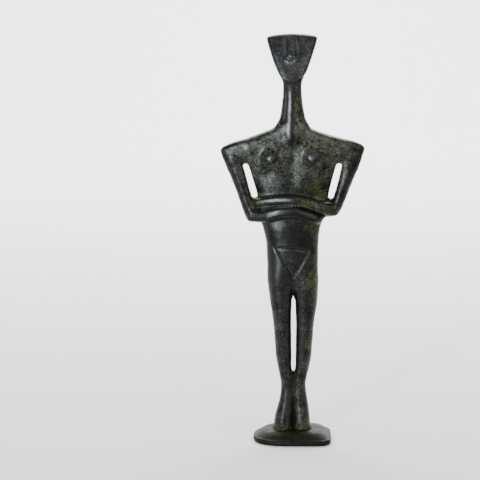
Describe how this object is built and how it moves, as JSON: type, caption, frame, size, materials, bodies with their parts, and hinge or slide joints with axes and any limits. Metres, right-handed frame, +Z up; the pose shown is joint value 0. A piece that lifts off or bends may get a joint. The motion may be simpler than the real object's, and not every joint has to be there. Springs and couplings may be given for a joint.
{
  "type": "cycladic figurine",
  "caption": "Cast bronze statuette in the Cycladic folded-arm style: wedge face, long neck, open arm loops, slim legs, on a low pebble-shaped plinth",
  "frame": {"origin": "middle of the underside of the plinth, on the surface the statuette stands on", "axes": "+Z up along the body, -Y out of the face and chest, +X towards a viewer's right"},
  "size_m": [0.0832, 0.034, 0.2415],
  "materials": {
    "bronze": "dark green-black satin bronze, worn blue-grey on the high places, with olive verdigris in the hollows",
    "plinth_bronze": "brownish dark grey bronze, smoother and more matt, with verdigris round the feet"
  },
  "bodies": {
    "root": {"figure": "bronze", "plinth": "plinth_bronze"}
  },
  "joints": []
}
